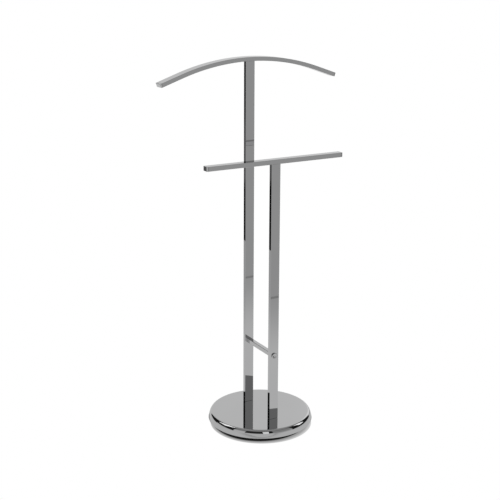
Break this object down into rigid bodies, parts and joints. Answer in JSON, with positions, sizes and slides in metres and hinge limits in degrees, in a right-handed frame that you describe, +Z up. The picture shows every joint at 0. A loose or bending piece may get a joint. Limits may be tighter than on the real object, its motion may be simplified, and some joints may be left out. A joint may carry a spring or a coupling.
{
  "type": "valet stand",
  "caption": "Free-standing valet stand with a curved shoulder hanger, a lower straight trouser bar, flat tube posts and a round weighted base.",
  "frame": {"origin": "centre of the base's underside, on the floor", "axes": "+Z up, X along the hanger and the trouser bar, -Y towards the front, the short post's side"},
  "size_m": [0.528, 0.2896, 1.0115],
  "materials": {
    "chrome": "mirror-polished chrome plate",
    "steel": "plain zinc-plated steel",
    "black_paint": "satin black paint",
    "ballast": "rough cast cement",
    "rubber": "matte black"
  },
  "bodies": {
    "root": {"base_cover": "chrome", "base_tray": "black_paint", "base_weight": "ballast", "base_pad": "rubber", "tray_screw_1": "steel", "tray_screw_2": "steel", "tray_screw_3": "steel", "tray_screw_4": "steel", "rear_post": "chrome", "front_post": "chrome", "rear_foot_plug": "steel", "front_foot_plug": "steel", "rear_bolt_left": "steel", "rear_bolt_right": "steel", "front_bolt_left": "steel", "front_bolt_right": "steel", "rear_washer_left": "steel", "rear_washer_right": "steel", "front_washer_left": "steel", "front_washer_right": "steel", "link_bar": "chrome", "front_link_bolt": "chrome", "rear_link_bolt": "chrome", "hanger_arc": "chrome", "hanger_cap_left": "chrome", "hanger_cap_right": "chrome", "hanger_joint_plug": "steel", "trouser_bar": "chrome", "trouser_cap_left": "chrome", "trouser_cap_right": "chrome", "trouser_joint_plug": "steel"}
  },
  "joints": []
}
